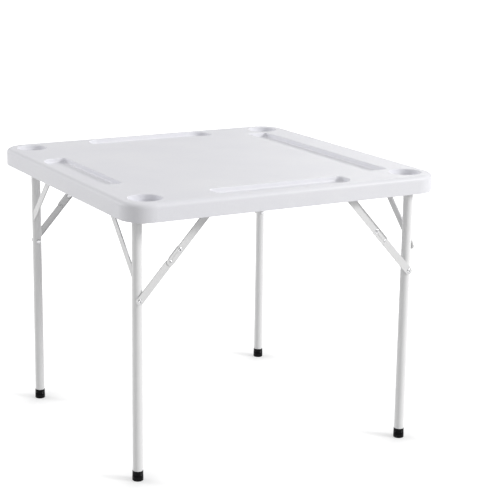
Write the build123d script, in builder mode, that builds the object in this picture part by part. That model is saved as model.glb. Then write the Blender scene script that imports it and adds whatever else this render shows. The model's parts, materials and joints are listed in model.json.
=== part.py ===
from build123d import *
import math
import os

# A square folding card table: a hollow moulded top with cup and tray recesses, on two folding leg frames.
# The origin is on the floor under the middle of the top, +Z is up, and both leg frames fold along X.
# "front" is the -Y side and "back" the +Y side. The legs at -X stand further in ("inner") than those
# at +X ("outer"), so that the two frames fold flat past each other.

os.makedirs("parts", exist_ok=True)

# Whole table
side = 880.0
height = 724.0
rim_height = 46.0
overrun = 5.0

# Moulded top, upper wall
corner_radius = 68.0
rim_edge_radius = 12.0
rim_foot_radius = 1.5
top_wall = 3.0
lip_fillet = 2.5
floor_fillet = 4.0

# Cup recesses, one in each corner
cup_radius = 41.0
cup_offset = 370.0
cup_depth = 19.0

# Tray recesses: one along the front, back and -X sides, and a longer one along the +X side
tray_length = 380.0
tray_inner_edge = 345.0
tray_outer_edge = 417.0
tray_depth = 13.0
tray_inner_radius = 14.0
tray_outer_radius = 40.0
long_tray_length = 636.0
long_tray_inner_edge = 292.0
long_tray_outer_edge = 352.0
long_tray_radius = 8.0

# Moulded top, lower wall with its tack-off pockets
deck_thickness = 25.0
skin_wall = 2.5
lip_width = 22.0
bay_corner_radius = 30.0
pocket_pitch = 38.2
pocket_rows = 17
pocket_length = 28.0
pocket_width = 7.0
pocket_wall = 2.2
edge_pocket_offset = 337.0
outer_pocket_offset = 397.0
outer_pocket_spread = 22.0

# Steel frame under the top
rail_sheet = 1.5
rail_offset = 404.5
rail_length = 790.0
rail_height = 28.0
rail_flange = 11.0
rail_hem = 3.0
stretcher_length = 704.0
stretcher_width = 16.0
stretcher_depth = 6.0
stretcher_sheet = 1.2

# Leg frames
pivot_offset = 375.0
pivot_drop = 40.0
inner_leg_offset = 334.0
outer_leg_offset = 383.0
leg_radius = 12.7
leg_wall = 1.2
cross_radius = 8.0
cross_wall = 1.2
cross_end_beyond_rail = 3.0
weld_gap = 0.05
level_tolerance = 0.05
plug_thickness = 2.0

# Rubber feet
foot_radius = 14.2
foot_top_radius = 13.6
foot_height = 26.0
foot_sole = 5.0
foot_edge_radius = 1.5

# Fixed struts between leg and cross tube. The inner frame's lie on its cross tube and are welded to the
# sides of its legs. The outer frame's stand clear on bosses, to pass the inner legs when folded.
strut_leg_drop = 154.5
strut_inset = 149.6
strut_width = 20.0
strut_thickness = 3.5
strut_trim = 3.0
strut_standoff = 2.2
strut_boss_radius = 4.5
strut_rivet_radius = 2.4
strut_rivet_head_radius = 4.4
strut_rivet_head = 1.4

# Folding braces: reach of the two outer pivots from the leg's hinge, along the rail and down the leg
brace_rail_reach = 198.0
brace_leg_reach = 219.0
link_sheet = 1.5
leg_to_link_gap = 0.5
lower_link_width = 19.4
lower_link_depth = 3.5
link_gap = 0.3
upper_link_width = 20.6
upper_link_depth = 4.0
catch_distance = 37.0
catch_bead_length = 20.0
catch_bead_width = 5.0
catch_bead_height = 0.8
link_rivet_radius = 3.0
link_rivet_head_radius = 6.0
catch_rivet_radius = 2.2
catch_rivet_head_radius = 3.8
rivet_head = 1.6
inner_head = 1.5
pin_clearance = 0.08
catch_clearance = 1.75
rivet_split_gap = 0.3

# Brackets that carry the inner braces
bracket_gap = 3.0
bracket_sheet = 1.5
bracket_width = 34.0
bracket_flange = 11.0
bracket_height = 24.0

# Pivot bushes in the rails
bush_wall = 1.0
bush_flange = 1.2
bush_flange_thickness = 1.0

# Clips that hold the outer legs when folded
clip_from_pivot = 591.0
clip_length = 16.0
clip_sheet = 1.8
clip_gap = 0.4
clip_grip = 17.0

# Frame screws
screw_radius = 1.8
screw_head_radius = 3.6
screw_head = 1.6
screw_end = 2.0
rail_screw_pitch = 160.0
rail_screw_count = 5
stretcher_screw_offset = 320.0

# Derived places
half = side / 2
rim_foot_z = height - rim_height
skin_z = height - deck_thickness
top_skin_z = height - top_wall
pivot_z = height - pivot_drop
bay_half = half - lip_width
rail_outer_face = rail_offset + rail_sheet
upper_pivot_x = pivot_offset - brace_rail_reach
leg_pivot_z = pivot_z - brace_leg_reach
brace_length = math.hypot(brace_rail_reach, brace_leg_reach)
upper_link_length = (brace_length - brace_leg_reach + brace_rail_reach) / 2
brace_angle = math.degrees(math.atan2(brace_leg_reach, brace_rail_reach))
bush_radius = cross_radius + pin_clearance + bush_wall
knee_foot_radius = lower_link_width / 2 - link_sheet - link_gap
knee_foot = lower_link_depth - link_sheet - 2 * rivet_split_gap
cross_half_length = rail_outer_face + cross_end_beyond_rail

frames = {"inner": (-1, inner_leg_offset), "outer": (1, outer_leg_offset)}
standing_off = {"inner": False, "outer": True}
sides = {"front": -1, "back": 1}


def save(part, name):
    part.label = name
    export_step(part, f"parts/{name}.step")


def mirrored(part, x_sign, y_sign):
    """The part as drawn at +X +Y, mirrored to the corner with these signs."""
    if x_sign < 0:
        part = mirror(part, about=Plane.YZ)
    if y_sign < 0:
        part = mirror(part, about=Plane.XZ)
    return part


def rounded_square(half_size, radius):
    """A square sketch centred on the table with rounded corners."""
    with BuildSketch() as outline:
        RectangleRounded(2 * half_size, 2 * half_size, radius)
    return outline.sketch


def tray_outline(length, inner_edge, outer_edge, inner_radius, outer_radius, grow=0):
    """A tray's outline along the +X side, grown all round by a wall."""
    with BuildSketch() as outline:
        with Locations(((inner_edge + outer_edge) / 2, 0)):
            Rectangle(outer_edge - inner_edge, length)
        inner_corners = outline.vertices().group_by(Axis.X)[0]
        fillet(inner_corners, inner_radius)
        outer_corners = outline.vertices().group_by(Axis.X)[-1].sort_by(Axis.Y)
        fillet([outer_corners[0], outer_corners[-1]], outer_radius)
        if grow:
            offset(amount=grow, kind=Kind.ARC)
    return outline.sketch


def tray_sketches(grow=0):
    """All four tray outlines, each at its side of the top."""
    short = tray_outline(
        tray_length, tray_inner_edge, tray_outer_edge, tray_inner_radius, tray_outer_radius, grow
    )
    long = tray_outline(
        long_tray_length, long_tray_inner_edge, long_tray_outer_edge, long_tray_radius, long_tray_radius, grow
    )
    return [short.rotate(Axis.Z, angle) for angle in (90, 180, 270)] + [long]


cup_places = [(x_sign * cup_offset, y_sign * cup_offset) for x_sign in (-1, 1) for y_sign in (-1, 1)]

# Upper wall of the top: flat field, rim, and the walls and floors of the recesses
with BuildPart() as top_core:
    with BuildSketch(Plane.XY.offset(rim_foot_z)):
        add(rounded_square(half - top_wall, corner_radius - top_wall))
    extrude(amount=rim_height - top_wall)
    fillet(top_core.faces().sort_by(Axis.Z)[-1].edges(), rim_edge_radius - top_wall)

with BuildPart() as table_top:
    with BuildSketch(Plane.XY.offset(rim_foot_z)):
        add(rounded_square(half, corner_radius))
    extrude(amount=rim_height)
    fillet(table_top.faces().sort_by(Axis.Z)[-1].edges(), rim_edge_radius)
    fillet(table_top.faces().sort_by(Axis.Z)[0].edges(), rim_foot_radius)
    add(top_core.part, mode=Mode.SUBTRACT)
    with BuildSketch(Plane.XY.offset(height - tray_depth - top_wall)):
        add(tray_sketches(top_wall))
    extrude(amount=tray_depth)
    with BuildSketch(Plane.XY.offset(height - cup_depth - top_wall)):
        with Locations(cup_places):
            Circle(cup_radius + top_wall)
    extrude(amount=cup_depth)
    with BuildSketch(Plane.XY.offset(height - tray_depth)):
        add(tray_sketches())
    extrude(amount=tray_depth, mode=Mode.SUBTRACT)
    with BuildSketch(Plane.XY.offset(height - cup_depth)):
        with Locations(cup_places):
            Circle(cup_radius)
    extrude(amount=cup_depth, mode=Mode.SUBTRACT)
    top_face = table_top.faces().sort_by(Axis.Z)[-1]
    fillet([edge for wire in top_face.inner_wires() for edge in wire.edges()], lip_fillet)
    tray_floors = table_top.faces().filter_by_position(
        Axis.Z, height - tray_depth - level_tolerance, height - tray_depth + level_tolerance
    )
    cup_floors = table_top.faces().filter_by_position(
        Axis.Z, height - cup_depth - level_tolerance, height - cup_depth + level_tolerance
    )
    fillet([edge for face in tray_floors + cup_floors for edge in face.edges()], floor_fillet)

# Lower wall of the top: rim foot, bay for the frames, and a basket pattern of pockets that reach
# up to the upper wall and stiffen the hollow panel
half_rows = pocket_rows // 2
pocket_grid = [(column, row) for column in range(-half_rows, half_rows + 1)
               for row in range(-half_rows, half_rows + 1)]
upright_pockets = [(column * pocket_pitch, row * pocket_pitch)
                   for column, row in pocket_grid if (column + row) % 2 == 0]
level_pockets = [(column * pocket_pitch, row * pocket_pitch)
                 for column, row in pocket_grid if (column + row) % 2 == 1]
edge_pockets = [(x_sign * edge_pocket_offset, row * pocket_pitch)
                for x_sign in (-1, 1) for row in (-3, -1, 1, 3)]
outer_upright = [(x_sign * (outer_pocket_offset + shift), row * pocket_pitch)
                 for x_sign in (-1, 1) for row in (-8, -6, 6, 8)
                 for shift in (-outer_pocket_spread / 2, outer_pocket_spread / 2)]
outer_level = [(x_sign * outer_pocket_offset, row * pocket_pitch)
               for x_sign in (-1, 1) for row in (-7, -5, 5, 7)]


def under_long_tray(place):
    return place[0] + pocket_length / 2 + pocket_wall > long_tray_inner_edge - top_wall


def pocket_shapes(upright, level, grow):
    """The outlines of pockets, or of the posts around them when grown by their wall."""
    with BuildSketch() as shapes:
        if upright:
            with Locations(upright):
                Rectangle(pocket_width + 2 * grow, pocket_length + 2 * grow)
        if level:
            with Locations(level):
                Rectangle(pocket_length + 2 * grow, pocket_width + 2 * grow)
    return shapes.sketch


tall_upright = [place for place in upright_pockets if not under_long_tray(place)]
tall_level = [place for place in level_pockets if not under_long_tray(place)]
short_upright = [place for place in upright_pockets if under_long_tray(place)] + edge_pockets + outer_upright
short_level = [place for place in level_pockets if under_long_tray(place)] + outer_level
skin_top_z = skin_z + skin_wall
post_sets = [
    (tall_upright, tall_level, top_skin_z - skin_top_z),
    (short_upright, short_level, height - tray_depth - top_wall - skin_top_z),
]

rail_screw_y = rail_outer_face + (rail_flange - rail_sheet) / 2
bracket_offset = (inner_leg_offset + leg_radius + leg_to_link_gap + lower_link_depth
                  + link_gap + link_sheet + bracket_gap)
bracket_screw_y = bracket_offset + bracket_sheet + (bracket_flange - bracket_sheet) / 2
bracket_screw_shift = bracket_width / 2 - 2 * screw_head_radius + screw_head_radius / 2
rail_screws = [(step * rail_screw_pitch, y_sign * rail_screw_y)
               for step in range(-(rail_screw_count // 2), rail_screw_count // 2 + 1) for y_sign in (-1, 1)]
bracket_screws = [(-upper_pivot_x + shift, y_sign * bracket_screw_y)
                  for shift in (-bracket_screw_shift, bracket_screw_shift) for y_sign in (-1, 1)]
between_pockets = 2 * pocket_pitch + (pocket_pitch - (pocket_length - pocket_width) / 2) / 2
stretcher_screws = [(x_sign * x, 0) for x_sign in (-1, 1) for x in (between_pockets, stretcher_screw_offset)]
clip_x = pivot_offset - clip_from_pivot
clip_screws = [(clip_x, y_sign * outer_leg_offset) for y_sign in (-1, 1)]

with BuildPart() as underside_skin:
    with BuildSketch(Plane.XY.offset(rim_foot_z)):
        add(rounded_square(half - top_wall, corner_radius - top_wall))
    extrude(amount=skin_wall)
    with BuildSketch(Plane.XY.offset(rim_foot_z)):
        add(rounded_square(bay_half + skin_wall, bay_corner_radius + skin_wall))
    extrude(amount=skin_top_z - rim_foot_z)
    with BuildSketch(Plane.XY.offset(rim_foot_z)):
        add(rounded_square(bay_half, bay_corner_radius))
    extrude(amount=skin_z - rim_foot_z, mode=Mode.SUBTRACT)
    for upright, level, post_height in post_sets:
        with BuildSketch(Plane.XY.offset(skin_top_z)):
            add(pocket_shapes(upright, level, pocket_wall))
        extrude(amount=post_height)
    for upright, level, post_height in post_sets:
        with BuildSketch(Plane.XY.offset(skin_z)):
            add(pocket_shapes(upright, level, 0))
        extrude(amount=post_height, mode=Mode.SUBTRACT)
    with BuildSketch(Plane.XY.offset(skin_z)):
        with Locations(rail_screws + bracket_screws + clip_screws + stretcher_screws):
            Circle(screw_radius)
    extrude(amount=top_skin_z - skin_z - overrun, mode=Mode.SUBTRACT)

save(table_top.part, "table_top")
save(underside_skin.part, "underside_skin")


def make_rail():
    """The back rail: an upright sheet with a screw flange along its top and a hem along its foot."""
    with BuildPart() as rail:
        with BuildSketch(Plane.YZ) as section:
            with BuildLine():
                Polyline(
                    (rail_offset, skin_z),
                    (rail_outer_face + rail_flange - rail_sheet, skin_z),
                    (rail_outer_face + rail_flange - rail_sheet, skin_z - rail_sheet),
                    (rail_outer_face, skin_z - rail_sheet),
                    (rail_outer_face, skin_z - rail_height + rail_sheet),
                    (rail_outer_face + rail_hem, skin_z - rail_height + rail_sheet),
                    (rail_outer_face + rail_hem, skin_z - rail_height),
                    (rail_offset, skin_z - rail_height),
                    close=True,
                )
            make_face()
        extrude(amount=rail_length / 2, both=True)
        with BuildSketch(Plane.XZ.offset(-rail_offset)):
            with Locations((-pivot_offset, pivot_z), (pivot_offset, pivot_z)):
                Circle(bush_radius)
            with Locations((upper_pivot_x, pivot_z)):
                Circle(link_rivet_radius)
        extrude(amount=overrun, both=True, mode=Mode.SUBTRACT)
        with BuildSketch(Plane.XY.offset(skin_z)):
            with Locations([place for place in rail_screws if place[1] > 0]):
                Circle(screw_radius)
        extrude(amount=-overrun, mode=Mode.SUBTRACT)
    return rail.part


rail = make_rail()
save(mirrored(rail, 1, -1), "rail_front")
save(rail, "rail_back")

with BuildPart() as stretcher:
    with BuildSketch(Plane.YZ):
        with Locations((0, skin_z - stretcher_depth / 2)):
            Rectangle(stretcher_width, stretcher_depth)
        with Locations((0, skin_z - (stretcher_depth - stretcher_sheet) / 2)):
            Rectangle(
                stretcher_width - 2 * stretcher_sheet, stretcher_depth - stretcher_sheet, mode=Mode.SUBTRACT
            )
    extrude(amount=stretcher_length / 2, both=True)
    with BuildSketch(Plane.XY.offset(skin_z - stretcher_depth)):
        with Locations(stretcher_screws):
            Circle(screw_radius)
    extrude(amount=stretcher_sheet, mode=Mode.SUBTRACT)
save(stretcher.part, "centre_stretcher")


def make_bracket():
    """The bracket of an inner brace, drawn at +X +Y: an upright plate with a screw flange."""
    with BuildPart() as bracket:
        with BuildSketch(Plane.YZ.offset(upper_pivot_x - bracket_width / 2)):
            with BuildLine():
                Polyline(
                    (bracket_offset, skin_z),
                    (bracket_offset + bracket_flange, skin_z),
                    (bracket_offset + bracket_flange, skin_z - bracket_sheet),
                    (bracket_offset + bracket_sheet, skin_z - bracket_sheet),
                    (bracket_offset + bracket_sheet, skin_z - bracket_height),
                    (bracket_offset, skin_z - bracket_height),
                    close=True,
                )
            make_face()
        extrude(amount=bracket_width)
        foot_corners = bracket.edges().filter_by(Axis.Y).group_by(Axis.Z)[0]
        fillet(foot_corners, bracket_width / 4)
        with BuildSketch(Plane.XZ.offset(-bracket_offset)):
            with Locations((upper_pivot_x, pivot_z)):
                Circle(link_rivet_radius)
        extrude(amount=overrun, both=True, mode=Mode.SUBTRACT)
        with BuildSketch(Plane.XY.offset(skin_z)):
            with Locations([(-x, y) for x, y in bracket_screws if y > 0]):
                Circle(screw_radius)
        extrude(amount=-overrun, mode=Mode.SUBTRACT)
    return bracket.part


bracket = make_bracket()
for side_name, y_sign in sides.items():
    save(mirrored(bracket, -1, y_sign), f"brace_bracket_{side_name}")


def make_clip():
    """The saddle that a folded outer leg snaps into, drawn at the back."""
    with BuildPart() as clip:
        with BuildSketch(Plane.YZ.offset(clip_x - clip_length / 2)):
            with Locations((outer_leg_offset, skin_z - clip_grip / 2)):
                Rectangle(2 * (leg_radius + clip_gap + clip_sheet), clip_grip)
            with Locations((outer_leg_offset, skin_z - clip_sheet - clip_grip / 2)):
                Rectangle(2 * (leg_radius + clip_gap), clip_grip, mode=Mode.SUBTRACT)
        extrude(amount=clip_length)
        with BuildSketch(Plane.XY.offset(skin_z)):
            with Locations([place for place in clip_screws if place[1] > 0]):
                Circle(screw_radius)
        extrude(amount=-overrun, mode=Mode.SUBTRACT)
    return clip.part


clip = make_clip()
for side_name, y_sign in sides.items():
    save(mirrored(clip, 1, y_sign), f"leg_clip_{side_name}")

with BuildPart() as bushes:
    for x_sign in (-1, 1):
        for y_sign in (-1, 1):
            with BuildSketch(Plane.XZ.offset(-y_sign * rail_offset)):
                with Locations((x_sign * pivot_offset, pivot_z)):
                    Circle(bush_radius)
                    Circle(cross_radius + pin_clearance, mode=Mode.SUBTRACT)
            extrude(amount=-y_sign * rail_sheet)
            with BuildSketch(Plane.XZ.offset(-y_sign * rail_outer_face)):
                with Locations((x_sign * pivot_offset, pivot_z)):
                    Circle(bush_radius + bush_flange)
                    Circle(cross_radius + pin_clearance, mode=Mode.SUBTRACT)
            extrude(amount=-y_sign * bush_flange_thickness)
save(bushes.part, "pivot_bushes")

with BuildPart() as screws:
    screw_sets = [
        (rail_screws + bracket_screws, skin_z - rail_sheet),
        (stretcher_screws, skin_z - stretcher_depth),
    ]
    for places, seat_z in screw_sets:
        with BuildSketch(Plane.XY.offset(seat_z)):
            with Locations(places):
                Circle(screw_head_radius)
        extrude(amount=-screw_head)
        with BuildSketch(Plane.XY.offset(seat_z)):
            with Locations(places):
                Circle(screw_radius)
        extrude(amount=skin_top_z + screw_end - seat_z)
    with BuildSketch(Plane.XY.offset(skin_z - clip_sheet)):
        with Locations(clip_screws):
            Circle(screw_radius)
    extrude(amount=clip_sheet + skin_wall + screw_end)
save(screws.part, "frame_screws")


def make_cross_tube(frame_name):
    """The tube that a leg frame turns on, from rail to rail, with holes for the upper strut rivets."""
    x_sign, leg_offset = frames[frame_name]
    with BuildPart() as tube:
        with BuildSketch(Plane.XZ):
            with Locations((x_sign * pivot_offset, pivot_z)):
                Circle(cross_radius)
                Circle(cross_radius - cross_wall, mode=Mode.SUBTRACT)
        extrude(amount=cross_half_length, both=True)
        with BuildSketch(Plane.YZ.offset(x_sign * pivot_offset)):
            with Locations([(y_sign * (leg_offset - strut_inset), pivot_z) for y_sign in (-1, 1)]):
                Circle(strut_rivet_radius)
        extrude(amount=x_sign * (cross_radius + overrun), mode=Mode.SUBTRACT)
    return tube.part


def make_leg(frame_name):
    """A leg tube drawn at +X +Y, its top end cut round the cross tube that it is welded to."""
    leg_offset = frames[frame_name][1]
    with BuildPart() as leg:
        with BuildSketch(Plane.XY.offset(foot_sole)):
            with Locations((pivot_offset, leg_offset)):
                Circle(leg_radius)
                Circle(leg_radius - leg_wall, mode=Mode.SUBTRACT)
        extrude(amount=pivot_z - foot_sole)
        with BuildSketch(Plane.XZ.offset(-leg_offset)):
            with Locations((pivot_offset, pivot_z)):
                Circle(cross_radius + weld_gap)
        extrude(amount=leg_radius + overrun, both=True, mode=Mode.SUBTRACT)
        if standing_off[frame_name]:
            with BuildSketch(Plane.YZ.offset(pivot_offset)):
                with Locations((leg_offset, pivot_z - strut_leg_drop)):
                    Circle(strut_rivet_radius)
            extrude(amount=leg_radius + overrun, mode=Mode.SUBTRACT)
        with BuildSketch(Plane.XZ.offset(-leg_offset)):
            with Locations((pivot_offset, leg_pivot_z)):
                Circle(link_rivet_radius)
        extrude(amount=leg_radius + overrun, both=True, mode=Mode.SUBTRACT)
    return leg.part


def make_foot(leg_offset):
    """A rubber foot pushed over a leg's end, drawn at +X +Y."""
    with BuildPart() as foot:
        with BuildSketch():
            with Locations((pivot_offset, leg_offset)):
                Circle(foot_radius)
        with BuildSketch(Plane.XY.offset(foot_height)):
            with Locations((pivot_offset, leg_offset)):
                Circle(foot_top_radius)
        loft()
        fillet(foot.edges().group_by(Axis.Z)[0], foot_edge_radius)
        with BuildSketch(Plane.XY.offset(foot_sole)):
            with Locations((pivot_offset, leg_offset)):
                Circle(leg_radius)
        extrude(amount=foot_height, mode=Mode.SUBTRACT)
    return foot.part


def strut_face(frame_name):
    """How far the struts' near side stands from the plane of their frame's legs."""
    if standing_off[frame_name]:
        return leg_radius + strut_standoff
    return cross_radius + weld_gap


def make_strut(frame_name):
    """A fixed strut drawn at +X +Y: a flat bar, cut round the leg's side or on two bosses clear of the leg."""
    leg_offset = frames[frame_name][1]
    inner_face = pivot_offset + strut_face(frame_name)
    leg_end = (leg_offset, pivot_z - strut_leg_drop)
    tube_end = (leg_offset - strut_inset, pivot_z)
    middle = ((leg_end[0] + tube_end[0]) / 2, (leg_end[1] + tube_end[1]) / 2)
    rise = math.degrees(math.atan2(leg_end[1] - tube_end[1], leg_end[0] - tube_end[0]))
    length = math.hypot(strut_inset, strut_leg_drop)
    rivet_places = [tube_end]
    with BuildPart() as strut:
        with BuildSketch(Plane.YZ.offset(inner_face)):
            with Locations(Location(middle, rise)):
                SlotCenterToCenter(length, strut_width)
        extrude(amount=strut_thickness)
        if standing_off[frame_name]:
            rivet_places = [leg_end, tube_end]
            seats = (pivot_offset + leg_radius, pivot_offset + cross_radius)
            for end, seat in zip(rivet_places, seats):
                with BuildSketch(Plane.YZ.offset(seat + weld_gap)):
                    with Locations(end):
                        Circle(strut_boss_radius)
                extrude(amount=inner_face - seat - weld_gap)
        else:
            with BuildSketch():
                with Locations((pivot_offset, leg_offset)):
                    Circle(leg_radius + weld_gap)
                with Locations((pivot_offset, leg_offset - strut_trim + leg_radius)):
                    Rectangle(4 * leg_radius, 2 * leg_radius)
            extrude(amount=height, mode=Mode.SUBTRACT)
        with BuildSketch(Plane.YZ.offset(pivot_offset)):
            with Locations(rivet_places):
                Circle(strut_rivet_radius)
        extrude(amount=inner_face + strut_thickness + overrun - pivot_offset, mode=Mode.SUBTRACT)
    return strut.part


def make_strut_rivets(frame_name):
    """The rivets that hold a frame's two struts to its cross tube, and to its legs where they stand off."""
    x_sign, leg_offset = frames[frame_name]
    head_seat = pivot_offset + strut_face(frame_name) + strut_thickness
    with BuildPart() as rivets:
        for y_sign in (-1, 1):
            ends = [(y_sign * (leg_offset - strut_inset), pivot_z, cross_radius - cross_wall)]
            if standing_off[frame_name]:
                ends.append((y_sign * leg_offset, pivot_z - strut_leg_drop, leg_radius - leg_wall))
            for y, z, bore in ends:
                with BuildSketch(Plane.YZ.offset(x_sign * (pivot_offset + bore - strut_rivet_head))):
                    with Locations((y, z)):
                        Circle(strut_rivet_radius)
                extrude(amount=x_sign * (head_seat - pivot_offset - bore + strut_rivet_head))
                with BuildSketch(Plane.YZ.offset(x_sign * head_seat)):
                    with Locations((y, z)):
                        Circle(strut_rivet_head_radius)
                extrude(amount=x_sign * strut_rivet_head)
    return rivets.part


def make_leg_pins(frame_name):
    """The leg's half of each brace rivet: a pin through the leg with its head on the inner side."""
    x_sign, leg_offset = frames[frame_name]
    head_reach = leg_radius + inner_head
    with BuildPart() as pins:
        for y_sign in (-1, 1):
            with BuildSketch(Plane.XZ.offset(-y_sign * (leg_offset - head_reach))):
                with Locations((x_sign * pivot_offset, leg_pivot_z)):
                    Circle(link_rivet_head_radius)
            extrude(amount=-y_sign * inner_head)
            with BuildSketch(Plane.XZ.offset(-y_sign * (leg_offset - leg_radius))):
                with Locations((x_sign * pivot_offset, leg_pivot_z)):
                    Circle(link_rivet_radius)
            extrude(amount=-y_sign * (2 * leg_radius + leg_to_link_gap - rivet_split_gap))
    return pins.part


def make_tube_plugs(frame_name):
    """The caps on the ends of a cross tube, which keep it in its rails."""
    x_sign = frames[frame_name][0]
    with BuildPart() as plugs:
        for y_sign in (-1, 1):
            with BuildSketch(Plane.XZ.offset(-y_sign * cross_half_length)):
                with Locations((x_sign * pivot_offset, pivot_z)):
                    Circle(bush_radius)
            extrude(amount=-y_sign * plug_thickness)
    return plugs.part


for frame_name, (x_sign, leg_offset) in frames.items():
    save(make_cross_tube(frame_name), f"{frame_name}_cross_tube")
    save(make_strut_rivets(frame_name), f"{frame_name}_strut_rivets")
    save(make_leg_pins(frame_name), f"{frame_name}_leg_pins")
    save(make_tube_plugs(frame_name), f"{frame_name}_tube_plugs")
    leg = make_leg(frame_name)
    foot = make_foot(leg_offset)
    strut = make_strut(frame_name)
    for side_name, y_sign in sides.items():
        save(mirrored(leg, x_sign, y_sign), f"{frame_name}_leg_{side_name}")
        save(mirrored(foot, x_sign, y_sign), f"{frame_name}_foot_{side_name}")
        save(mirrored(strut, x_sign, y_sign), f"{frame_name}_strut_{side_name}")


# Folding braces. Each is drawn at +X +Y in the plane of its links: from the upper pivot at the rail,
# down and out to the knee and on to the leg.
link_turn = -brace_angle
upper_pivot = (upper_pivot_x, pivot_z)
leg_pivot = (pivot_offset, leg_pivot_z)
along_x = math.cos(math.radians(link_turn))
along_z = math.sin(math.radians(link_turn))


def along_brace(distance, aside=0):
    """A point at this distance from the upper pivot towards the leg, and aside towards the corner."""
    return (
        upper_pivot[0] + distance * along_x - aside * along_z,
        upper_pivot[1] + distance * along_z + aside * along_x,
    )


def slot_on_brace(start, end, width):
    """A round-ended strip along the brace in the sketch that is being drawn."""
    with Locations(Location(along_brace((start + end) / 2), link_turn)):
        SlotCenterToCenter(end - start, width)


def make_upper_link(layer):
    """The upper link: an angle section, flange outwards, whose tongue runs on past the knee to the catch
    rivet."""
    tongue_end = upper_link_length + catch_distance
    with BuildPart() as link:
        with BuildSketch(Plane.XZ.offset(-layer)):
            slot_on_brace(0, tongue_end, upper_link_width)
        extrude(amount=-link_sheet)
        flange_middle = along_brace(tongue_end / 2, (upper_link_width - link_sheet) / 2)
        with BuildSketch(Plane.XZ.offset(-layer)):
            with Locations(Location(flange_middle, link_turn)):
                Rectangle(tongue_end, link_sheet)
        extrude(amount=-upper_link_depth)
        bead_middle = upper_link_length + catch_distance / 2
        with BuildSketch(Plane.XZ.offset(-layer - link_sheet)):
            slot_on_brace(
                bead_middle - catch_bead_length / 2, bead_middle + catch_bead_length / 2, catch_bead_width
            )
        extrude(amount=-catch_bead_height)
        with BuildSketch(Plane.XZ.offset(-layer)):
            with Locations(along_brace(0), along_brace(upper_link_length)):
                Circle(link_rivet_radius + pin_clearance)
            with Locations(along_brace(tongue_end)):
                Circle(catch_rivet_radius)
        extrude(amount=-link_sheet, mode=Mode.SUBTRACT)
    return link.part


def make_lower_link(layer):
    """The lower link: a channel open towards the leg, with a notch that closes on the catch rivet."""
    web_outer = layer + lower_link_depth
    start = upper_link_length
    catch_place = along_brace(start + catch_distance)
    notch_half = catch_rivet_radius + catch_clearance
    notch_middle = along_brace(start + catch_distance, lower_link_width / 2)
    with BuildPart() as link:
        with BuildSketch(Plane.XZ.offset(-web_outer)):
            slot_on_brace(start, brace_length, lower_link_width)
        extrude(amount=lower_link_depth)
        with BuildSketch(Plane.XZ.offset(-web_outer + link_sheet)):
            slot_on_brace(start, brace_length, lower_link_width - 2 * link_sheet)
        extrude(amount=lower_link_depth, mode=Mode.SUBTRACT)
        with BuildSketch(Plane.XZ.offset(-web_outer)):
            with Locations(catch_place):
                Circle(notch_half)
            with Locations(Location(notch_middle, link_turn)):
                Rectangle(2 * notch_half, lower_link_width)
            with Locations(along_brace(start), leg_pivot):
                Circle(link_rivet_radius + pin_clearance)
        extrude(amount=lower_link_depth, mode=Mode.SUBTRACT)
    return link.part


def make_pin(place, start, end, radius, head_radius, head, foot_radius=0, foot=0):
    """A rivet along +Y at a place of the brace, with a head outside its end and a foot at its start."""
    with BuildPart() as pin:
        with BuildSketch(Plane.XZ.offset(-start)):
            with Locations(place):
                Circle(radius)
        extrude(amount=start - end)
        if head:
            with BuildSketch(Plane.XZ.offset(-end)):
                with Locations(place):
                    Circle(head_radius)
            extrude(amount=-head)
            fillet(pin.edges().sort_by(Axis.Y)[-1], head / 2)
        if foot:
            with BuildSketch(Plane.XZ.offset(-start)):
                with Locations(place):
                    Circle(foot_radius)
            extrude(amount=-foot)
    return pin.part


for frame_name, (x_sign, leg_offset) in frames.items():
    lower_layer = leg_offset + leg_radius + leg_to_link_gap
    lower_outer = lower_layer + lower_link_depth
    upper_inner = lower_outer + link_gap
    upper_outer = upper_inner + link_sheet
    carrier_face = rail_offset if frame_name == "outer" else bracket_offset
    carrier_sheet = rail_sheet if frame_name == "outer" else bracket_sheet
    knee = along_brace(upper_link_length)
    catch = along_brace(upper_link_length + catch_distance)
    pieces = {
        "upper_link": make_upper_link(upper_inner),
        "lower_link": make_lower_link(lower_layer),
        "knee_rivet": make_pin(
            knee, lower_layer + rivet_split_gap, upper_outer, link_rivet_radius,
            link_rivet_head_radius, rivet_head, knee_foot_radius, knee_foot,
        ),
        "catch_rivet": make_pin(
            catch, lower_layer + rivet_split_gap, upper_outer, catch_rivet_radius,
            catch_rivet_head_radius, rivet_head,
        ),
        "leg_rivet": make_pin(
            leg_pivot, lower_outer - link_sheet, lower_outer, link_rivet_radius + pin_clearance,
            link_rivet_head_radius, rivet_head,
        ),
        "pivot_rivet": make_pin(
            upper_pivot, upper_inner, carrier_face + carrier_sheet, link_rivet_radius,
            link_rivet_head_radius, rivet_head,
        ),
    }
    with BuildPart() as washer:
        with BuildSketch(Plane.XZ.offset(-upper_outer - pin_clearance)):
            with Locations(upper_pivot):
                Circle(link_rivet_head_radius)
                Circle(link_rivet_radius, mode=Mode.SUBTRACT)
        extrude(amount=upper_outer + pin_clearance - carrier_face)
    pieces["pivot_washer"] = washer.part
    for side_name, y_sign in sides.items():
        for piece_name, piece in pieces.items():
            save(mirrored(piece, x_sign, y_sign), f"{frame_name}_{piece_name}_{side_name}")
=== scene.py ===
import json
import math

import bmesh
import bpy
from mathutils import Matrix, Vector


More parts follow.
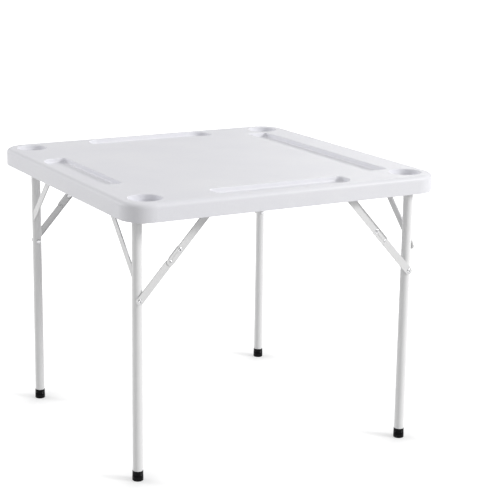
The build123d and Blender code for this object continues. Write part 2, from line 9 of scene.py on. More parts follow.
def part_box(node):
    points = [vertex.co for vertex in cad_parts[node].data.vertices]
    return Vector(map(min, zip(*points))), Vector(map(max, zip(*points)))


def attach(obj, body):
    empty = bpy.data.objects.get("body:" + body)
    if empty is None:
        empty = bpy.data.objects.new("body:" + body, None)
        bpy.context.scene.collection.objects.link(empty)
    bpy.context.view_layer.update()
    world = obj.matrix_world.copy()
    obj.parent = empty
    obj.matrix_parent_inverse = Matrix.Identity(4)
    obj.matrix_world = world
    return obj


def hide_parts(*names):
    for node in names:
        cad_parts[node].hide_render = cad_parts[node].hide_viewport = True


# The looks of a square folding card table: moulded plastic top, powder-coated steel leg frames, rubber feet.
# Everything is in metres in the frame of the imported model: origin on the floor, +Z up, front at -Y.

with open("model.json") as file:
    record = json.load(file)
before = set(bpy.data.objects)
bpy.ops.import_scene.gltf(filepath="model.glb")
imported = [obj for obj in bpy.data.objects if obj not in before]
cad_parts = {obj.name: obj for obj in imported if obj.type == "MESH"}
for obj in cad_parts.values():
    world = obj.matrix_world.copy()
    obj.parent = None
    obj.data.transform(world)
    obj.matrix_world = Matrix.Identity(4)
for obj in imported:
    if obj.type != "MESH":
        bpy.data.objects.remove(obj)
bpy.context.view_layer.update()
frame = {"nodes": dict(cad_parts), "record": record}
OUTWARD = {"front": -1, "back": 1}
FRAMES = ("inner", "outer")
MM = 0.001


# Camera and the photograph's frame

PICTURE = 500
FOCAL_PIXELS = 1439.8
CENTRE_PIXEL = (205.3, 235.3)
CAMERA_PLACE = (-1.7795, -3.3683, 1.4335)
CAMERA_TURN = 27.637
CAMERA_DIP = 13.579
CAMERA_ROLL = 0.425
SENSOR = 36.0


def make_camera():
    """The camera at the photograph's viewing angle, from its place, angles in degrees and lens in pixels."""
    data = bpy.data.cameras.new("camera")
    data.sensor_width = SENSOR
    data.lens = FOCAL_PIXELS / PICTURE * SENSOR
    data.shift_x = 0.5 - CENTRE_PIXEL[0] / PICTURE
    data.shift_y = CENTRE_PIXEL[1] / PICTURE - 0.5
    camera = bpy.data.objects.new("camera", data)
    turn = Matrix.Rotation(math.radians(-CAMERA_TURN), 4, "Z")
    dip = Matrix.Rotation(math.radians(90 - CAMERA_DIP), 4, "X")
    roll = Matrix.Rotation(math.radians(CAMERA_ROLL), 4, "Z")
    camera.matrix_world = Matrix.Translation(CAMERA_PLACE) @ turn @ dip @ roll
    bpy.context.scene.collection.objects.link(camera)
    bpy.context.scene.camera = camera


# Materials

NOISE_ROUGHNESS = 0.55
NOISE_LOW = 0.3
NOISE_HIGH = 0.7
DUST_HEIGHT = 5.0 * MM


class Nodes:
    """Short calls for the nodes of a material or world."""

    def __init__(self, tree):
        self.tree = tree

    def node(self, kind, inputs=(), **settings):
        """A new node with its settings, and with its inputs linked or set."""
        made = self.tree.nodes.new(kind)
        for setting, value in settings.items():
            setattr(made, setting, value)
        for socket, value in dict(inputs).items():
            if isinstance(value, bpy.types.NodeSocket):
                self.tree.links.new(value, made.inputs[socket])
            else:
                made.inputs[socket].default_value = value
        return made

    def object_place(self):
        return self.node("ShaderNodeTexCoord").outputs["Object"]

    def math(self, operation, first, second):
        return self.node("ShaderNodeMath", {0: first, 1: second}, operation=operation).outputs[0]

    def span(self, value, low, high, new_low=0.0, new_high=1.0):
        """The value, moved from one range to another and held within it."""
        return self.node("ShaderNodeMapRange", {
            "Value": value, "From Min": low, "From Max": high, "To Min": new_low, "To Max": new_high,
        }).outputs["Result"]


class Finish(Nodes):
    """A material with a Principled shader, and short calls for the patterns that feed it."""

    def __init__(self, name, constants):
        self.material = bpy.data.materials.new(name)
        self.material.use_nodes = True
        super().__init__(self.material.node_tree)
        self.shader = self.tree.nodes["Principled BSDF"]
        for socket, value in constants.items():
            self.shader.inputs[socket].default_value = value
        self.place = self.object_place()

    def stretched(self, scale):
        """The object coordinates, scaled along each axis."""
        return self.node("ShaderNodeMapping", {"Vector": self.place, "Scale": scale}).outputs["Vector"]

    def noise(self, scale, detail=3.0, place=None):
        return self.node("ShaderNodeTexNoise", {
            "Vector": place or self.place, "Scale": scale, "Detail": detail, "Roughness": NOISE_ROUGHNESS,
        }).outputs["Fac"]

    def cells(self, scale, smoothness=0.6):
        """Rounded pebbles, each highest in its middle."""
        return self.node("ShaderNodeTexVoronoi", {
            "Vector": self.place, "Scale": scale, "Smoothness": smoothness,
        }, feature="SMOOTH_F1").outputs["Distance"]

    def sum_of(self, coarse, fine, low, high, coarse_share):
        """Two noises, each stretched from its low to its high value, added in their shares."""
        first = self.span(coarse, low, high, 0.0, coarse_share)
        second = self.span(fine, low, high, 0.0, 1.0 - coarse_share)
        return self.math("ADD", first, second)

    def two_colours(self, share, first, second):
        """A mix of two colours, from all of the first to all of the second."""
        mix = self.node("ShaderNodeMix", {"Factor": share}, data_type="RGBA")
        for socket, colour in (("A_Color", first), ("B_Color", second)):
            target = next(s for s in mix.inputs if s.identifier == socket)
            target.default_value = (*colour, 1)
        return next(s for s in mix.outputs if s.identifier == "Result_Color")

    def bump(self, height, distance, strength, below=None):
        """Bumps of a height in metres, on top of those below."""
        inputs = {"Height": height, "Distance": distance, "Strength": strength}
        if below:
            inputs["Normal"] = below
        return self.node("ShaderNodeBump", inputs).outputs["Normal"]

    def connect(self, socket, value):
        self.tree.links.new(value, self.shader.inputs[socket])

    def roughen(self, pattern, smoothest, roughest):
        """Lets the roughness follow a noise."""
        self.connect("Roughness", self.span(pattern, NOISE_LOW, NOISE_HIGH, smoothest, roughest))


def moulded_plastic(name, light, dark, grain_depth):
    """Blow-moulded polyethylene: a pebble grain, slow sink marks and a faint mottle."""
    finish = Finish(name, {"Specular IOR Level": 0.45})
    clouds = finish.noise(scale=5.0, detail=4.0)
    mottle = finish.noise(scale=260.0, detail=2.0)
    share = finish.sum_of(clouds, mottle, low=0.35, high=0.65, coarse_share=0.7)
    finish.connect("Base Color", finish.two_colours(share, light, dark))
    finish.roughen(finish.noise(scale=420.0), smoothest=0.40, roughest=0.52)
    sinks = finish.bump(finish.noise(scale=9.0, detail=1.0), distance=0.6 * MM, strength=0.35)
    grain = finish.bump(finish.cells(scale=820.0), distance=grain_depth, strength=0.5, below=sinks)
    pores = finish.noise(scale=2600.0)
    finish.connect("Normal", finish.bump(pores, distance=grain_depth * 0.4, strength=0.4, below=grain))
    return finish


def powder_coat(name, light, dark):
    """Powder coat on steel: a fine orange peel, with a gloss that varies in fine patches."""
    finish = Finish(name, {"Coat Weight": 0.12, "Coat Roughness": 0.22})
    clouds = finish.noise(scale=14.0)
    specks = finish.noise(scale=1500.0, detail=2.0)
    share = finish.sum_of(clouds, specks, low=NOISE_LOW, high=NOISE_HIGH, coarse_share=0.6)
    finish.connect("Base Color", finish.two_colours(share, light, dark))
    finish.roughen(finish.noise(scale=900.0), smoothest=0.30, roughest=0.42)
    peel = finish.bump(finish.cells(scale=650.0, smoothness=1.0), distance=0.06 * MM, strength=0.5)
    dust = finish.noise(scale=1900.0)
    finish.connect("Normal", finish.bump(dust, distance=0.03 * MM, strength=0.4, below=peel))
    return finish


def rubber(name, black, dusty):
    """Black rubber with a soft gloss, greyer where it stands on the floor."""
    finish = Finish(name, {"Specular IOR Level": 0.12})
    height = finish.node("ShaderNodeSeparateXYZ", {"Vector": finish.place}).outputs["Z"]
    near_floor = finish.span(height, low=0.0, high=DUST_HEIGHT, new_low=1.0, new_high=0.0)
    dust = finish.math("MULTIPLY", near_floor, finish.noise(scale=300.0))
    patches = finish.span(finish.noise(scale=120.0), low=0.4, high=0.7, new_high=0.2)
    bloom = finish.math("ADD", dust, patches)
    finish.connect("Base Color", finish.two_colours(bloom, black, dusty))
    finish.roughen(finish.noise(scale=500.0), smoothest=0.16, roughest=0.24)
    finish.connect("Normal", finish.bump(finish.cells(scale=1400.0), distance=0.03 * MM, strength=0.3))
    return finish


def plated_steel(name, bright, dull):
    """Bright zinc on rivets and screws: turning marks, small scuffs and a few dull spots."""
    finish = Finish(name, {"Metallic": 1.0})
    scuffs = finish.noise(scale=1.0, detail=4.0, place=finish.stretched((900.0, 3500.0, 900.0)))
    spots = finish.span(finish.noise(scale=400.0, detail=2.0), low=0.4, high=0.7)
    finish.connect("Base Color", finish.two_colours(spots, bright, dull))
    finish.roughen(scuffs, smoothest=0.16, roughest=0.34)
    finish.connect("Normal", finish.bump(scuffs, distance=0.02 * MM, strength=0.5))
    return finish


def nylon(name, black, worn):
    """Black nylon fittings with a fine spark-eroded grain and pale scuffs."""
    finish = Finish(name, {"Specular IOR Level": 0.45})
    scuffs = finish.span(finish.noise(scale=220.0, detail=5.0), low=0.58, high=0.75)
    finish.connect("Base Color", finish.two_colours(scuffs, black, worn))
    finish.roughen(finish.noise(scale=700.0), smoothest=0.38, roughest=0.55)
    finish.connect("Normal", finish.bump(finish.cells(scale=1600.0), distance=0.08 * MM, strength=0.5))
    return finish


# Small mesh helpers

SAME_PLACE = 1e-6
ON_AXIS = 1e-7
BOX_DIGITS = 4
BEAD_SIDES = 8
BEAD_RIPPLE_TURN = 1.9
HEAD_STEPS = 8
HEAD_RIM = 0.15
CAP_STEPS = 5


def mesh_object(name, bm, finish, body, smooth=True):
    """A mesh object from a bmesh, shaded, given its finish and set on its body."""
    bmesh.ops.recalc_face_normals(bm, faces=bm.faces)
    mesh = bpy.data.meshes.new(name)
    bm.to_mesh(mesh)
    bm.free()
    if smooth:
        mesh.shade_smooth()
    piece = bpy.data.objects.new(name, mesh)
    bpy.context.scene.collection.objects.link(piece)
    mesh.materials.append(finish.material)
    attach(piece, body)
    return piece


def add_lathe(bm, profile, place, axis, segments=40):
    """Adds a turned form: profile points are (radius, distance along the axis), from one end to the other."""
    turn = Vector((0, 0, 1)).rotation_difference(Vector(axis)).to_matrix().to_4x4()
    seat = Matrix.Translation(place) @ turn
    rings = []
    for radius, along in profile:
        if radius < ON_AXIS:
            rings.append([bm.verts.new(seat @ Vector((0, 0, along)))])
            continue
        ring = []
        for step in range(segments):
            angle = 2 * math.pi * step / segments
            point = Vector((radius * math.cos(angle), radius * math.sin(angle), along))
            ring.append(bm.verts.new(seat @ point))
        rings.append(ring)
    for low, high in zip(rings, rings[1:]):
        for step in range(segments):
            following = (step + 1) % segments
            corners = [low[step % len(low)], low[following % len(low)],
                       high[following % len(high)], high[step % len(high)]]
            unique = list(dict.fromkeys(corners))
            if len(unique) > 2:
                bm.faces.new(unique)


def add_bead(bm, path, radius, ripple):
    """Adds a round weld bead along a path of points; ripple is the share by which it swells and narrows."""
    rings = []
    for index, point in enumerate(path):
        ahead = path[min(index + 1, len(path) - 1)] - path[max(index - 1, 0)]
        turn = Vector((0, 0, 1)).rotation_difference(ahead.normalized()).to_matrix()
        size = radius * (1 + ripple * math.sin(index * BEAD_RIPPLE_TURN))
        angles = [2 * math.pi * side / BEAD_SIDES for side in range(BEAD_SIDES)]
        rings.append([
            bm.verts.new(point + turn @ Vector((size * math.cos(angle), size * math.sin(angle), 0)))
            for angle in angles
        ])
    for low, high in zip(rings, rings[1:]):
        for side in range(BEAD_SIDES):
            following = (side + 1) % BEAD_SIDES
            bm.faces.new((low[side], low[following], high[following], high[side]))
    bm.faces.new(rings[0])
    bm.faces.new(rings[-1])


def dome(radius, height, hole=0.0):
    """Profile of a low round head, from its rim at 0 to its crown, or to the edge of a hole in the crown."""
    edge = HEAD_RIM * height
    points = [(radius, 0.0), (radius, edge)]
    for step in range(1, HEAD_STEPS + 1):
        angle = math.acos(hole / radius) * step / HEAD_STEPS
        points.append((radius * math.cos(angle), edge + (height - edge) * math.sin(angle)))
    return points


def pin_profile(length, shank, head_radius, head, hole=0.0, hole_depth=0.0):
    """A pin from its shank's end to the crown of its domed head, or to the foot of a hole in the crown."""
    points = [(0.0, 0.0), (shank, 0.0), (shank, length - head)]
    points += [(radius, length - head + along) for radius, along in dome(head_radius, head, hole)]
    if hole:
        points += [(hole, length - hole_depth), (0.0, length - hole_depth)]
    return points


def cap(radius, height, edge):
    """Profile of a flat cap with a rounded edge, from its rim at 0 to its face."""
    points = [(radius, 0.0)]
    for step in range(CAP_STEPS + 1):
        angle = math.pi / 2 * step / CAP_STEPS
        points.append((radius - edge + edge * math.cos(angle), height - edge + edge * math.sin(angle)))
    return points + [(0.0, height)]


def loose_boxes(node):
    """The lowest and highest corners of each separate solid in a CAD node."""
    bm = bmesh.new()
    bm.from_mesh(frame["nodes"][node].data)
    bmesh.ops.remove_doubles(bm, verts=bm.verts, dist=SAME_PLACE)
    waiting = set(bm.verts)
    boxes = []
    while waiting:
        reached = [waiting.pop()]
        for vert in reached:
            for edge in vert.link_edges:
                other = edge.other_vert(vert)
                if other in waiting:
                    waiting.remove(other)
                    reached.append(other)
        low, high = (
            Vector([picked(vert.co[axis] for vert in reached) for axis in range(3)]) for picked in (min, max)
        )
        boxes.append((low, high))
    bm.free()
    return sorted(boxes, key=lambda box: tuple(round(value, BOX_DIGITS) for value in box[0]))


def middle_and_radius(low, high):
    """The middle of a box and the radius of the round form that lies in it."""
    return (low + high) / 2, (high.z - low.z) / 2


def cut(bm, cutters):
    """The first form with the second one cut out of it."""
    pair = []
    for form in (bm, cutters):
        mesh = bpy.data.meshes.new("cutting")
        form.to_mesh(mesh)
        form.free()
        pair.append(bpy.data.objects.new("cutting", mesh))
        bpy.context.scene.collection.objects.link(pair[-1])
    modifier = pair[0].modifiers.new("cut", "BOOLEAN")
    modifier.operation = "DIFFERENCE"
    modifier.solver = "EXACT"
    modifier.object = pair[1]
    made = bmesh.new()
    made.from_object(pair[0], bpy.context.evaluated_depsgraph_get())
    for piece in pair:
        bpy.data.meshes.remove(piece.data)
    return made


# Materials and dimples of the CAD pieces

DIMPLE_PITCH = 9.4 * MM
DIMPLE_RADIUS = 3.3 * MM
DIMPLE_FLOOR = 2.9 * MM
DIMPLE_DEPTH = 2.0 * MM
DIMPLE_OVERLAP = 1.0 * MM
DIMPLE_SEGMENTS = 12
DIMPLE_COLUMNS = 3
DIMPLE_ROWS = 37
DIMPLE_STRIP = 398.7 * MM


def set_finishes(finishes):
    """Gives every CAD node the finish of its material slot."""
    slots = {entry["node"]: entry["material_slot"] for entry in frame["record"]["subparts"]}
    for node, piece in frame["nodes"].items():
        piece.data.materials.clear()
        piece.data.materials.append(finishes[slots[node]].material)


def dimpled_skin(finish):
    """The lower wall, with rows of small dimples cut into the strips beside the cross tubes."""
    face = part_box("rail_front")[1].z
    cutters = bmesh.new()
    profile = [(0.0, -DIMPLE_OVERLAP), (DIMPLE_RADIUS, -DIMPLE_OVERLAP), (DIMPLE_RADIUS, 0.0),
               (DIMPLE_FLOOR, DIMPLE_DEPTH), (0.0, DIMPLE_DEPTH)]
    for strip in (-DIMPLE_STRIP, DIMPLE_STRIP):
        for column in range(DIMPLE_COLUMNS):
            for row in range(DIMPLE_ROWS):
                x = strip + (column - (DIMPLE_COLUMNS - 1) / 2) * DIMPLE_PITCH
                y = (row - (DIMPLE_ROWS - 1) / 2) * DIMPLE_PITCH
                add_lathe(cutters, profile, (x, y, face), (0, 0, 1), segments=DIMPLE_SEGMENTS)
    bmesh.ops.recalc_face_normals(cutters, faces=cutters.faces)
    wall = bmesh.new()
    wall.from_mesh(frame["nodes"]["underside_skin"].data)
    bmesh.ops.remove_doubles(wall, verts=wall.verts, dist=SAME_PLACE)
    made = cut(wall, cutters)
    piece = mesh_object("underside_skin_dimpled", made, finish, "top", smooth=False)
    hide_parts("underside_skin")


# Rivets, pins, plugs and welds of the leg frames

BRACE_SHANK = 3.0 * MM
BRACE_HEAD = 1.6 * MM
BRACE_HEAD_RADIUS = 6.0 * MM
BRACE_HOLE = 0.8
BRACE_HOLE_DEPTH = 0.85
CATCH_SHANK = 2.2 * MM
KNEE_FOOT = 1.4 * MM
STRUT_SHANK = 2.4 * MM
STRUT_HEAD = 1.4 * MM
LEG_PIN_SHANK = 3.0 * MM
LEG_PIN_HEAD = 1.5 * MM
PLUG_EDGE = 1.3 * MM
LEG_WELD_BEAD = 1.1 * MM
LEG_WELD_RIPPLE = 0.14
LEG_WELD_STEPS = 26
LEG_WELD_REACH = 0.985
STRUT_WELD_BEAD = 1.0 * MM
STRUT_WELD_RIPPLE = 0.16
STRUT_WELD_START = 1.2 * MM
STRUT_WELD_TALL = 27.5 * MM
STRUT_WELD_RISE = 4.6 * MM
STRUT_WELD_LONG_STEPS = 18
STRUT_WELD_SHORT_STEPS = 4


def brace_rivets(finish):
    """Domed, hollow-ended rivets of the folding braces, in place of the plain ones."""
    for frame_name in FRAMES:
        for side, outward in OUTWARD.items():
            for kind, body in (
                ("knee_rivet", f"{frame_name}_upper_link_{side}"),
                ("catch_rivet", f"{frame_name}_upper_link_{side}"),
                ("leg_rivet", f"{frame_name}_lower_link_{side}"),
                ("pivot_rivet", "top"),
            ):
                node = f"{frame_name}_{kind}_{side}"
                low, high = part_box(node)
                middle, widest = middle_and_radius(low, high)
                inner_end = low.y if outward > 0 else high.y
                head_radius = min(widest, BRACE_HEAD_RADIUS)
                shank = CATCH_SHANK if kind == "catch_rivet" else BRACE_SHANK
                length = high.y - low.y
                profile = pin_profile(length, shank, head_radius, BRACE_HEAD,
                                      BRACE_HOLE * shank, BRACE_HOLE_DEPTH * length)
                if widest > head_radius:
                    # The knee's rivet also has a wide foot between the links
                    profile[1:2] = [(widest, 0.0), (widest, KNEE_FOOT), (shank, KNEE_FOOT)]
                bm = bmesh.new()
                add_lathe(bm, profile, (middle.x, inner_end, middle.z), (0, outward, 0))
                piece = mesh_object(f"{node}_domed", bm, finish, body)
                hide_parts(node)


def weld_beads(finish):
    """The weld bead round each leg's top, where it meets its cross tube."""
    for frame_name in FRAMES:
        bm = bmesh.new()
        cross_middle, cross_radius = middle_and_radius(*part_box(f"{frame_name}_cross_tube"))
        for side in OUTWARD:
            low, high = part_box(f"{frame_name}_leg_{side}")
            middle = (low + high) / 2
            leg_radius = (high.y - low.y) / 2
            for face in (-1, 1):
                path = []
                for step in range(LEG_WELD_STEPS + 1):
                    x = (2 * step / LEG_WELD_STEPS - 1) * cross_radius * LEG_WELD_REACH
                    y = math.sqrt(leg_radius ** 2 - x ** 2)
                    drop = math.sqrt(cross_radius ** 2 - x ** 2)
                    path.append(Vector((middle.x + x, middle.y + face * y, cross_middle.z - drop)))
                add_bead(bm, path, LEG_WELD_BEAD, LEG_WELD_RIPPLE)
        mesh_object(f"{frame_name}_weld_beads", bm, finish, f"{frame_name}_frame")


def strut_welds(finish):
    """The weld round the cut end of each inner strut, where it meets the side of its leg."""
    bm = bmesh.new()
    for side, outward in OUTWARD.items():
        leg_low, leg_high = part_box(f"inner_leg_{side}")
        low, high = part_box(f"inner_strut_{side}")
        centre = (leg_low + leg_high) / 2
        radius = (leg_high.y - leg_low.y) / 2
        corners = []
        for x, rise in ((low.x, 0.0), (high.x, STRUT_WELD_RISE)):
            y = centre.y - outward * math.sqrt(max(radius ** 2 - (x - centre.x) ** 2, 0.0))
            heights = [low.z + start + rise for start in (STRUT_WELD_START, STRUT_WELD_TALL)]
            corners.append([Vector((x, y, z)) for z in heights])
        (outer_low, outer_high), (inner_low, inner_high) = corners
        path = []
        for start, end, count in (
            (outer_low, outer_high, STRUT_WELD_LONG_STEPS),
            (outer_high, inner_high, STRUT_WELD_SHORT_STEPS),
            (inner_high, inner_low, STRUT_WELD_LONG_STEPS),
            (inner_low, outer_low, STRUT_WELD_SHORT_STEPS),
        ):
            path += [start.lerp(end, step / count) for step in range(count)]
        add_bead(bm, path + [outer_low], STRUT_WELD_BEAD, STRUT_WELD_RIPPLE)
    mesh_object("inner_strut_welds", bm, finish, "inner_frame")


def frame_pins(finish):
    """Domed heads on the rivets of the struts and on the pins through the legs, one piece for each node."""
    for frame_name in FRAMES:
        body = f"{frame_name}_frame"
        outward = -1 if frame_name == "inner" else 1
        bm = bmesh.new()
        for low, high in loose_boxes(f"{frame_name}_strut_rivets"):
            middle, head_radius = middle_and_radius(low, high)
            start = high.x if outward < 0 else low.x
            profile = pin_profile(high.x - low.x, STRUT_SHANK, head_radius, STRUT_HEAD)
            add_lathe(bm, profile, (start, middle.y, middle.z), (outward, 0, 0))
        rivets = mesh_object(f"{frame_name}_strut_rivets_domed", bm, finish, body)
        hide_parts(f"{frame_name}_strut_rivets")
        bm = bmesh.new()
        for low, high in loose_boxes(f"{frame_name}_leg_pins"):
            middle, head_radius = middle_and_radius(low, high)
            inward = 1 if middle.y < 0 else -1
            start = low.y if inward > 0 else high.y
            profile = pin_profile(high.y - low.y, LEG_PIN_SHANK, head_radius, LEG_PIN_HEAD)
            add_lathe(bm, profile, (middle.x, start, middle.z), (0, inward, 0))
        pins = mesh_object(f"{frame_name}_leg_pins_domed", bm, finish, body)
        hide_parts(f"{frame_name}_leg_pins")


def tube_caps(finish):
    """Rounded plugs on the ends of the cross tubes."""
    for frame_name in FRAMES:
        body = f"{frame_name}_frame"
        bm = bmesh.new()
        for low, high in loose_boxes(f"{frame_name}_tube_plugs"):
            middle, radius = middle_and_radius(low, high)
            outward = -1 if middle.y < 0 else 1
            start = high.y if outward < 0 else low.y
            profile = [(0.0, 0.0)] + cap(radius, high.y - low.y, PLUG_EDGE)
            add_lathe(bm, profile, (middle.x, start, middle.z), (0, outward, 0))
        plugs = mesh_object(f"{frame_name}_tube_plugs_rounded", bm, finish, body)
        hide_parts(f"{frame_name}_tube_plugs")


# Screws under the top

SCREW_SHANK = 1.8 * MM
SCREW_HEADED = 1.2
SCREW_HEAD = 1.6 * MM
SCREW_HEAD_RIM = 0.3
SCREW_HEAD_STEPS = 4
SCREW_SEGMENTS = 28
SCREW_CROWN = 0.66
SCREW_TIP_EDGE = 0.25
RECESS_DEPTH = 1.0 * MM
RECESS_REACH = 0.78
RECESS_HALF_WIDTH = 0.2
RECESS_TAPER = 0.8


def add_cross_screw(bm, place, head_radius, shank):
    """Adds a screw whose head faces down: a low pan with a cross recess, and a plain shank above it."""
    made = bmesh.new()
    crown = SCREW_CROWN * head_radius
    profile = [(0.0, -shank), (SCREW_SHANK, -shank), (SCREW_SHANK, 0.0), (head_radius, 0.0)]
    for step in range(SCREW_HEAD_STEPS + 1):
        angle = math.pi / 2 * step / SCREW_HEAD_STEPS
        radius = crown + (head_radius - crown) * math.cos(angle)
        profile.append((radius, SCREW_HEAD * (SCREW_HEAD_RIM + (1 - SCREW_HEAD_RIM) * math.sin(angle))))
    add_lathe(made, profile, (0, 0, 0), (0, 0, 1), segments=SCREW_SEGMENTS)
    rim = [edge for edge in made.edges if edge.is_boundary]
    far, near = RECESS_REACH * crown, RECESS_HALF_WIDTH * crown
    outline = [(near, near), (far, near), (far, -near), (near, -near), (near, -far), (-near, -far),
               (-near, -near), (-far, -near), (-far, near), (-near, near), (-near, far), (near, far)]
    depth = SCREW_HEAD - RECESS_DEPTH
    top = [made.verts.new((x, y, SCREW_HEAD)) for x, y in outline]
    floor = [made.verts.new((x * RECESS_TAPER, y * RECESS_TAPER, depth)) for x, y in outline]
    loop = [made.edges.new(ends) for ends in zip(top, top[1:] + top[:1])]
    bmesh.ops.triangle_fill(made, edges=rim + loop, use_beauty=True)
    for index in range(len(outline)):
        following = (index + 1) % len(outline)
        made.faces.new((top[index], top[following], floor[following], floor[index]))
    made.faces.new(floor)
    made.transform(Matrix.Translation(place) @ Matrix.Rotation(math.pi, 4, "X"))
    mesh = bpy.data.meshes.new("screw")
    made.to_mesh(mesh)
    made.free()
    bm.from_mesh(mesh)
    bpy.data.meshes.remove(mesh)


def screws(finish):
    """Pan-head screws that hold the rails, brackets, stretcher and clips to the lower wall."""
    bm = bmesh.new()
    for low, high in loose_boxes("frame_screws"):
        middle = (low + high) / 2
        radius = (high.x - low.x) / 2
        if radius > SCREW_SHANK * SCREW_HEADED:
            seat = low.z + SCREW_HEAD
            add_cross_screw(bm, (middle.x, middle.y, seat), radius, high.z - seat)
        else:
            profile = [(0.0, 0.0)] + cap(radius, high.z - low.z, SCREW_TIP_EDGE * radius)
            add_lathe(bm, profile, (middle.x, middle.y, high.z), (0, 0, -1))
    piece = mesh_object("frame_screws_cross", bm, finish, "top", smooth=False)
    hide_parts("frame_screws")


# Feet

FOOT_SEGMENTS = 56
FOOT_TAPER = 0.6 * MM
FOOT_BORE = 12.7 * MM
FOOT_SOLE = 5.0 * MM
FOOT_HOLLOW = 0.5 * MM
FOOT_HOLLOW_RADIUS = 0.5
FOOT_TREAD_RADIUS = 0.52
FOOT_EDGE = 0.14
FOOT_EDGE_STEPS = 4
FOOT_LIP = 0.4 * MM
FOOT_LIP_INSET = 0.3 * MM
GROOVE_PLACES = (0.62, 0.72, 0.82)
GROOVE_DEPTH = 0.3 * MM
GROOVE_WIDTH = 1.1 * MM
GROOVE_SLOPE = 0.25 * MM


def foot_profile(wide, tall):
    """Half a section through a foot, from the middle of its sole to the floor of its bore."""
    edge = FOOT_EDGE * wide
    flat = wide - edge
    profile = [(0.0, FOOT_HOLLOW), (FOOT_HOLLOW_RADIUS * wide, FOOT_HOLLOW),
               (FOOT_TREAD_RADIUS * wide, 0.0), (flat, 0.0)]
    for step in range(1, FOOT_EDGE_STEPS + 1):
        angle = math.pi / 2 * step / FOOT_EDGE_STEPS
        profile.append((flat + edge * math.sin(angle), edge * (1 - math.cos(angle))))
    for part in GROOVE_PLACES:
        start = part * tall
        wall = wide - FOOT_TAPER * part
        profile += [(wall, start), (wall - GROOVE_DEPTH, start + GROOVE_SLOPE),
                    (wall - GROOVE_DEPTH, start + GROOVE_WIDTH - GROOVE_SLOPE), (wall, start + GROOVE_WIDTH)]
    wall = wide - FOOT_TAPER
    return profile + [(wall, tall - FOOT_LIP), (wall - FOOT_LIP_INSET, tall), (FOOT_BORE, tall),
                      (FOOT_BORE, FOOT_SOLE), (0.0, FOOT_SOLE)]


def feet(finish):
    """Turned rubber feet: a rounded sole, a tread ring, a tapered wall with grip grooves and a soft lip."""
    for frame_name in FRAMES:
        for side in OUTWARD:
            node = f"{frame_name}_foot_{side}"
            low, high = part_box(node)
            middle = (low + high) / 2
            profile = foot_profile((high.x - low.x) / 2, high.z - low.z)
            bm = bmesh.new()
            add_lathe(bm, profile, (middle.x, middle.y, low.z), (0, 0, 1), segments=FOOT_SEGMENTS)
            piece = mesh_object(f"{node}_turned", bm, finish, f"{frame_name}_frame")
            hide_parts(node)


# Floor, surround and lamps

FLOOR_SIZE = 30.0
FLOOR_DROP = 0.2 * MM
FLOOR_COLOUR = 0.60
FLOOR_GLOW = 0.62
# Painted shade: the floor glows less round the feet, so it is darker there.
FOOT_PAINTED_SHADE_GLOW = 0.44
FLOOR_NEAR = 0.7
FLOOR_FAR = 1.9
FOOT_SHADE_NEAR = 0.03
FOOT_SHADE_FAR = 0.11
SURROUND = 0.535
# Each lamp's place, width in metres and power in watts
LAMPS = {
    "key": ((5.9, -6.0, 4.15), 2.4, 432.0),
    "left": ((-5.2, 5.2, 3.0), 3.0, 154.0),
    "overhead": ((0.2, 0.4, 6.5), 4.5, 41.0),
    "back": ((5.6, 5.6, 3.6), 4.0, 56.0),
}
AIM = Vector((0.0, 0.0, 0.45))


def floor_glow(nodes):
    """How much the floor glows to the camera: white far off, less under the table, and lowered round its feet
    as a painted shade that lets their shadows show.
    """
    place = nodes.object_place()
    from_middle = nodes.node("ShaderNodeVectorMath", {0: place}, operation="LENGTH").outputs["Value"]
    from_feet = FLOOR_SIZE
    for frame_name in FRAMES:
        for side in OUTWARD:
            low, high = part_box(f"{frame_name}_foot_{side}")
            middle = (low + high) / 2
            ends = {0: place, 1: (middle.x, middle.y, 0.0)}
            gap = nodes.node("ShaderNodeVectorMath", ends, operation="DISTANCE").outputs["Value"]
            from_feet = nodes.math("MINIMUM", gap, from_feet)
    # Painted shade: the glow is lowered round each foot, which darkens the floor there and lets the foot's
    # shadow show.
    near = nodes.span(from_feet, FOOT_SHADE_NEAR, FOOT_SHADE_FAR, FOOT_PAINTED_SHADE_GLOW - FLOOR_GLOW, 0.0)
    return nodes.math("ADD", nodes.span(from_middle, FLOOR_NEAR, FLOOR_FAR, FLOOR_GLOW, 1.0), near)


def make_floor():
    """A pale floor that keeps the object's shadow, with a painted shade round its feet."""
    bm = bmesh.new()
    bmesh.ops.create_grid(bm, x_segments=1, y_segments=1, size=FLOOR_SIZE)
    mesh = bpy.data.meshes.new("floor")
    bm.to_mesh(mesh)
    bm.free()
    floor = bpy.data.objects.new("floor", mesh)
    bpy.context.scene.collection.objects.link(floor)
    floor.location.z = -FLOOR_DROP
    material = bpy.data.materials.new("floor")
    material.use_nodes = True
    material.node_tree.nodes.clear()
    nodes = Nodes(material.node_tree)
    diffuse = nodes.node("ShaderNodeBsdfDiffuse", {"Color": (FLOOR_COLOUR, FLOOR_COLOUR, FLOOR_COLOUR, 1)})
    ray = nodes.node("ShaderNodeLightPath").outputs
    seen = nodes.math("MAXIMUM", ray["Is Camera Ray"], ray["Is Glossy Ray"])
    glow = nodes.node("ShaderNodeEmission", {"Strength": nodes.math("MULTIPLY", seen, floor_glow(nodes))})
    total = nodes.node("ShaderNodeAddShader", {0: diffuse.outputs[0], 1: glow.outputs[0]})
    nodes.node("ShaderNodeOutputMaterial", {"Surface": total.outputs[0]})
    mesh.materials.append(material)


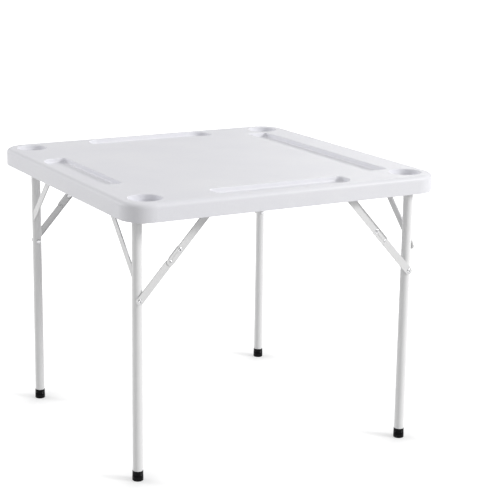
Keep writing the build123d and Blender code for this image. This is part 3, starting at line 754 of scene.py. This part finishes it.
def make_surround():
    """A white surround that lights the object plainly."""
    world = bpy.data.worlds.new("surround")
    bpy.context.scene.world = world
    world.use_nodes = True
    nodes = Nodes(world.node_tree)
    background = world.node_tree.nodes["Background"]
    background.inputs["Color"].default_value = (1, 1, 1, 1)
    ray = nodes.node("ShaderNodeLightPath").outputs
    sees = nodes.math("MAXIMUM", ray["Is Camera Ray"], ray["Is Transmission Ray"])
    strength = nodes.span(sees, 0.0, 1.0, SURROUND, 1.0)
    world.node_tree.links.new(strength, background.inputs["Strength"])


def make_lamps():
    """Round soft lamps, all turned towards the table."""
    for name, (place, size, power) in LAMPS.items():
        data = bpy.data.lights.new(name, "AREA")
        data.shape = "DISK"
        data.size = size
        data.energy = power
        lamp = bpy.data.objects.new(name, data)
        lamp.location = place
        lamp.rotation_euler = (AIM - Vector(place)).to_track_quat("-Z", "Y").to_euler()
        bpy.context.scene.collection.objects.link(lamp)


bpy.context.scene.view_settings.view_transform = "Standard"
make_camera()
FINISHES = {
    "top_plastic": moulded_plastic(
        "top_plastic", light=(0.83, 0.83, 0.86), dark=(0.79, 0.79, 0.83), grain_depth=0.09 * MM),
    "skin_plastic": moulded_plastic(
        "skin_plastic", light=(0.82, 0.82, 0.85), dark=(0.77, 0.77, 0.81), grain_depth=0.06 * MM),
    "rail_paint": powder_coat("rail_paint", light=(0.80, 0.80, 0.805), dark=(0.76, 0.76, 0.765)),
    # The tubes' paint is lighter than that of the rails and links: painted light that makes up for the shade
    # the legs get under the top.
    "tube_paint": powder_coat("tube_paint", light=(0.88, 0.88, 0.88), dark=(0.84, 0.84, 0.84)),
    "link_paint": powder_coat("link_paint", light=(0.80, 0.80, 0.80), dark=(0.76, 0.76, 0.76)),
    "foot_rubber": rubber("foot_rubber", black=(0.0025, 0.0025, 0.003), dusty=(0.020, 0.019, 0.018)),
    "rivet_steel": plated_steel("rivet_steel", bright=(0.66, 0.66, 0.67), dull=(0.46, 0.46, 0.47)),
    "fitting_plastic": nylon("fitting_plastic", black=(0.018, 0.018, 0.020), worn=(0.09, 0.09, 0.09)),
}
set_finishes(FINISHES)
dimpled_skin(FINISHES["skin_plastic"])
brace_rivets(FINISHES["rivet_steel"])
weld_beads(FINISHES["tube_paint"])
strut_welds(FINISHES["tube_paint"])
frame_pins(FINISHES["rivet_steel"])
tube_caps(FINISHES["fitting_plastic"])
screws(FINISHES["rivet_steel"])
feet(FINISHES["foot_rubber"])
make_floor()
make_surround()
make_lamps()
